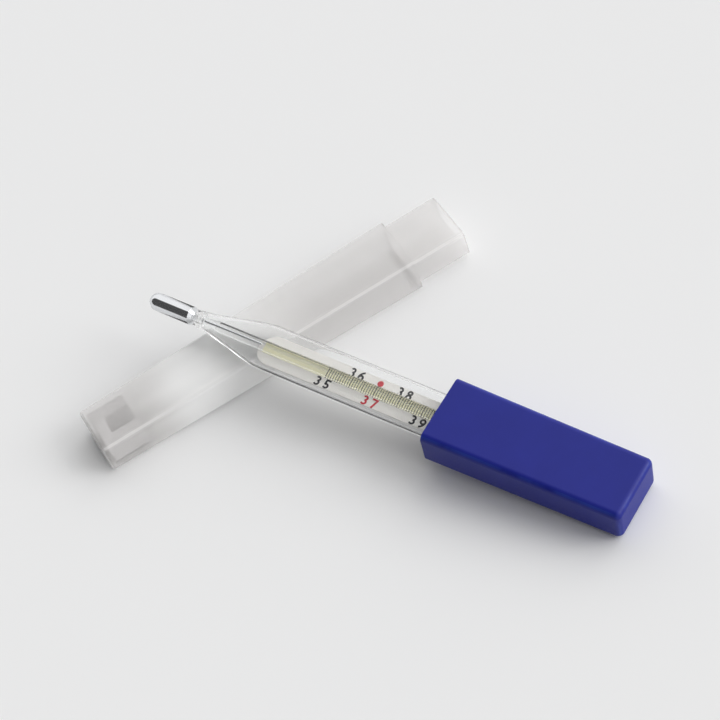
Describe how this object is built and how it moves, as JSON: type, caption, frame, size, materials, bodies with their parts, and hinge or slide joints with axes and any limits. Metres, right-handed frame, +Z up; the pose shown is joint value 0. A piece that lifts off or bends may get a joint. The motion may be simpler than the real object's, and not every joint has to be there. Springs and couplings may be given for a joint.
{
  "type": "clinical thermometer",
  "caption": "Flat glass clinical thermometer with a printed scale plate, held in a blue moulded cap and lying across its open clear storage case.",
  "frame": {"origin": "middle of the clear case's length, on its flat underside", "axes": "+Z up from the table, +X along the case towards its open mouth, -Y towards the blue cap"},
  "size_m": [0.0992, 0.1159, 0.0173],
  "materials": {
    "clear_plastic": "clear moulded styrene",
    "soft_bumper": "pale grey foam rubber",
    "blue_plastic": "satin moulded royal blue",
    "soft_sleeve": "soft translucent white",
    "clear_glass": "clear drawn glass",
    "liquid_metal": "mirror bright liquid metal",
    "opal_plate": "white opal glass",
    "yellow_strip": "pale yellow enamel",
    "black_print": "fired black print",
    "red_print": "fired red print",
    "soft_plug": "soft off-white"
  },
  "bodies": {
    "case": {"case_tube": "clear_plastic", "end_bumper": "soft_bumper"},
    "cap": {"cap_shell": "blue_plastic", "grip_sleeve": "soft_sleeve"},
    "glass": {"sheath_tube": "clear_glass", "bulb_glass": "clear_glass", "bulb_filling": "liquid_metal", "constriction_pin": "clear_glass", "capillary_tube": "clear_glass", "scale_plate": "opal_plate", "color_strip": "yellow_strip", "degree_lines": "black_print", "half_degree_lines": "black_print", "tenth_lines": "black_print", "black_numerals": "black_print", "red_numerals": "red_print", "normal_dot": "red_print", "top_plug": "soft_plug"},
    "column": {"liquid_thread": "liquid_metal"}
  },
  "joints": [
    {"name": "thermometer_lift", "type": "slide", "parent": "case", "child": "cap", "axis": [0, 0, 1], "range_m": [0, 0.06]},
    {"name": "glass_draw", "type": "slide", "parent": "cap", "child": "glass", "axis": [-0.4908, 0.8674, 0.082], "range_m": [0, 0.045]},
    {"name": "column_rise", "type": "slide", "parent": "glass", "child": "column", "axis": [0.4908, -0.8674, -0.082], "range_m": [0, 0.06225]}
  ]
}
